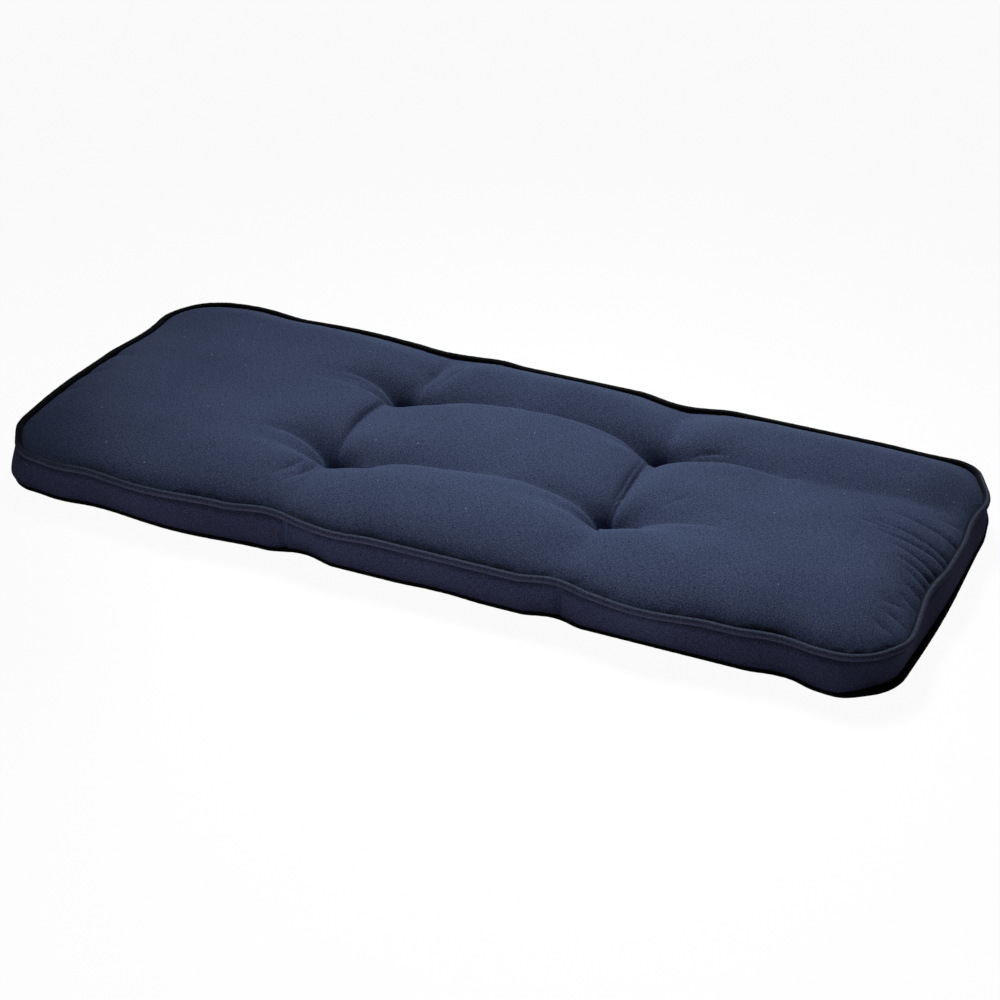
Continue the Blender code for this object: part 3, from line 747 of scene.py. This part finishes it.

# ------------------------------------------------------------------------------------------------
# The pipings: a cord in a bias-cut cover of the same cloth, sewn into the top seam and the bottom
# seam.  The cover's threads run slantwise round the cord, and it ripples slightly along its length.
# The top cover is painted near-black shade, except along its crest at the front and right, where it
# has painted light; the bottom cover is all painted near-black shade.
# ------------------------------------------------------------------------------------------------

PIPING_SIDES = 14
RIPPLE_SIZE = 0.008
RIPPLE_DEPTH = 0.00022
BIAS = math.radians(45)
TOP_ROUND = 0.0044  # radius over the cover
BOTTOM_ROUND = 0.0039
CREST = math.radians(32)  # above the level, where the cover is painted lighter as a highlight
CREST_SHARPNESS = 3.1
CREST_OFFSET = -0.6
# How sharply the piping's painted light at the front and right gives way to painted shade behind
# and at the left.
LIT_SIDE_SHARPNESS = 14.0
PIPING_YARN = Yarn(
    dark=(0.023, 0.024, 0.050, 1.0),
    middle=(0.052, 0.056, 0.114, 1.0),
    pale=(0.094, 0.102, 0.174, 1.0),
    flecks=0.01,
)
# A near-black yarn, painted on the pipings as shade.
SHADE_YARN = Yarn(
    dark=(0.001, 0.001, 0.002, 1.0),
    middle=(0.003, 0.003, 0.006, 1.0),
    pale=(0.008, 0.008, 0.014, 1.0),
    flecks=0.0,
)


def lit_side(tree):
    """Painted light: one on the front and right of the cushion, and none behind and at the left,
    where the piping is painted in shade.
    """
    place = node(tree, "ShaderNodeTexCoord").outputs["Object"]
    slant = (1.0 / LENGTH, -1.0 / DEPTH, 0.0)
    across = node(tree, "ShaderNodeVectorMath", place, slant, operation="DOT_PRODUCT")
    return math_node(tree, "MULTIPLY_ADD", across.outputs["Value"], LIT_SIDE_SHARPNESS, 0.5, clamp=True)


def lit_crest(tree, cloth_place):
    """Painted highlight: one along the lit side's crest, and none in the grooves beside it, which
    are painted in shade.
    """
    across = node(tree, "ShaderNodeSeparateXYZ", cloth_place).outputs[1]
    turn = math_node(tree, "MULTIPLY_ADD", across, 1.0 / TOP_ROUND, -CREST)
    facing = math_node(tree, "COSINE", turn)
    crest = math_node(tree, "MULTIPLY_ADD", facing, CREST_SHARPNESS, CREST_OFFSET, clamp=True)
    return math_node(tree, "MULTIPLY", crest, lit_side(tree))


def piping(name, node_name, slot, seam, thick, seed, **yarns):
    """A closed tube along one seam, in its cover."""
    line_x, line_y = plan(seam, BORDER_X, BORDER_Y, 0.0)
    line_z = seam_height(seam, BORDER_X, BORDER_Y)
    ahead_x = np.roll(line_x, -1) - np.roll(line_x, 1)
    ahead_y = np.roll(line_y, -1) - np.roll(line_y, 1)
    length = np.hypot(ahead_x, ahead_y)
    ripple = RIPPLE_DEPTH * wander(line_x + line_y, line_y - line_x, RIPPLE_SIZE, seed)

    def placed(stop, across):
        """The tube's points: each ring of them starts at its outer side."""
        radius = thick + ripple[stop]
        away = radius * np.cos(2 * math.pi * across)
        out_x = line_x[stop] + away * ahead_y[stop] / length[stop]
        out_y = line_y[stop] - away * ahead_x[stop] / length[stop]
        return out_x, out_y, line_z[stop] + radius * np.sin(2 * math.pi * across)

    made = wrapped(name, PIPING_SIDES, 2 * math.pi * thick, placed)
    made.data.materials.append(cloth(name + " cloth", turn=BIAS, **yarns))
    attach(made, "root")
    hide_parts(node_name)


# The top cover has painted light along its crest at the front and right and painted shade
# elsewhere; the bottom cover is all painted shade.
lit_crest_cover = {"yarn": PIPING_YARN, "shade_yarn": SHADE_YARN, "lit_share": lit_crest}
black = {"yarn": SHADE_YARN}
piping("top_piping", "piping_top", "top_piping_cloth", TOP_SEAM, TOP_ROUND, 1.0, **lit_crest_cover)
piping(
    "bottom_piping", "piping_bottom", "bottom_piping_cloth", BOTTOM_SEAM, BOTTOM_ROUND, 2.0, **black
)

# ------------------------------------------------------------------------------------------------
# The table it lies on for its picture, the light over it and the camera: a plain pale floor lit
# from below, one soft light above and behind the cushion on the left, a little light from all
# round, and a black card, out of the camera's sight, that shades the near left corner.
# ------------------------------------------------------------------------------------------------

FLOOR_SIZE = 12.0
FLOOR_GREY = (0.06, 0.06, 0.06, 1.0)
FLOOR_GLOW = 1.38  # it is lit from below, like a light table
GLOW_ENDS = 0.56  # the share of that which is left out at this distance to each side
GLOW_HALF_WIDTH = 0.60
GLOW_BEYOND = 0.45  # and it falls to this share again over a short way past the two ends
GLOW_FALL = 0.10
GLOW_MARGIN = 0.070  # it comes up over this far from the cushion's edge
FLOOR_GLOW_SEEN = 0.95  # so that the camera sees it white, and the backdrop too
WHITE = (1.0, 1.0, 1.0, 1.0)
LIGHT_PLACE = Vector((-0.98, 2.05, 2.44))
LIGHT_TARGET = Vector((0.27, -0.42, 0.05))
LIGHT_SIZE = 0.6
LIGHT_SPREAD = math.radians(38)
LIGHT_POWER = 8.4
LIGHT_COLOUR = (0.845, 1.0, 0.915)
SKY_COLOUR = (1.0, 0.85, 0.95, 1.0)
SKY = 0.045
CARD_PLACE = Vector((-0.825, 0.290, 0.83))  # a black card that shades the near left corner
CARD_HALF = 0.25
CARD_TURN = math.radians(37)
CAMERA_PLACE = Vector((1.1296, -2.4048, 1.5374))
CAMERA_TARGET = Vector((0.0141, -0.0107, 0.0))
CAMERA_LENS = 92.16


def pale_floor():
    """A matt floor that glows, except under the cushion, and most beside its middle."""
    made = bpy.data.materials.new("pale floor")
    made.use_nodes = True
    tree = made.node_tree
    shader = tree.nodes["Principled BSDF"]
    shader.inputs["Base Color"].default_value = FLOOR_GREY
    shader.inputs["Roughness"].default_value = 0.9
    shader.inputs["Specular IOR Level"].default_value = 0.0
    shader.inputs["Emission Color"].default_value = WHITE
    place = node(tree, "ShaderNodeTexCoord").outputs["Object"]
    folded = node(tree, "ShaderNodeVectorMath", place, operation="ABSOLUTE").outputs[0]
    half = (LENGTH / 2, DEPTH / 2, 0.0)
    past = node(tree, "ShaderNodeVectorMath", folded, half, operation="SUBTRACT").outputs[0]
    past = node(tree, "ShaderNodeVectorMath", past, (0.0, 0.0, 0.0), operation="MAXIMUM").outputs[0]
    away = node(tree, "ShaderNodeVectorMath", past, operation="LENGTH").outputs["Value"]
    lit = math_node(tree, "DIVIDE", away, GLOW_MARGIN, clamp=True)
    across = node(tree, "ShaderNodeSeparateXYZ", folded).outputs[0]
    for start, end, first, last in (
        (0.0, GLOW_HALF_WIDTH, FLOOR_GLOW, FLOOR_GLOW * GLOW_ENDS),
        (LENGTH / 2, LENGTH / 2 + GLOW_FALL, 1.0, GLOW_BEYOND),
    ):
        share = node(tree, "ShaderNodeMapRange", across, start, end, first, last).outputs[0]
        lit = math_node(tree, "MULTIPLY", lit, share)
    seen = node(tree, "ShaderNodeLightPath").outputs["Is Camera Ray"]
    glow = node(tree, "ShaderNodeMix", seen, None, lit, FLOOR_GLOW_SEEN)
    tree.links.new(glow.outputs[0], shader.inputs["Emission Strength"])
    return made


def black_card():
    """Matt black card."""
    made = bpy.data.materials.new("black card")
    made.use_nodes = True
    shader = made.node_tree.nodes["Principled BSDF"]
    shader.inputs["Base Color"].default_value = (0.0, 0.0, 0.0, 1.0)
    shader.inputs["Specular IOR Level"].default_value = 0.0
    return made


mesh = bmesh.new()
bmesh.ops.create_grid(mesh, x_segments=1, y_segments=1, size=FLOOR_SIZE / 2)
floor = finished("floor", mesh)
floor.data.materials.append(pale_floor())

mesh = bmesh.new()
bmesh.ops.create_grid(mesh, x_segments=1, y_segments=1, size=CARD_HALF)
bmesh.ops.rotate(mesh, matrix=Matrix.Rotation(CARD_TURN, 3, "Z"), verts=mesh.verts)
bmesh.ops.translate(mesh, vec=CARD_PLACE, verts=mesh.verts)
card = finished("card", mesh)
card.data.materials.append(black_card())
card.visible_camera = False


def aimed(thing, place, target):
    """A camera or light in its place, turned to look at the target."""
    made = bpy.data.objects.new(thing.name, thing)
    made.location = place
    made.rotation_euler = (target - place).to_track_quat("-Z", "Y").to_euler()
    bpy.context.scene.collection.objects.link(made)
    return made


softbox = bpy.data.lights.new("softbox", "AREA")
softbox.size = LIGHT_SIZE
softbox.spread = LIGHT_SPREAD
softbox.energy = LIGHT_POWER
softbox.color = LIGHT_COLOUR
aimed(softbox, LIGHT_PLACE, LIGHT_TARGET)

world = bpy.data.worlds.new("studio")
world.use_nodes = True
around = world.node_tree
backdrop = around.nodes["Background"].inputs
seen = node(around, "ShaderNodeLightPath").outputs["Is Camera Ray"]
around.links.new(mixed(around, seen, SKY_COLOUR, WHITE), backdrop["Color"])
strength = node(around, "ShaderNodeMix", seen, None, SKY, FLOOR_GLOW_SEEN).outputs[0]
around.links.new(strength, backdrop["Strength"])
bpy.context.scene.world = world
bpy.context.scene.view_settings.view_transform = "Standard"

lens = bpy.data.cameras.new("camera")
lens.sensor_width = 36.0
lens.lens = CAMERA_LENS
bpy.context.scene.camera = aimed(lens, CAMERA_PLACE, CAMERA_TARGET)
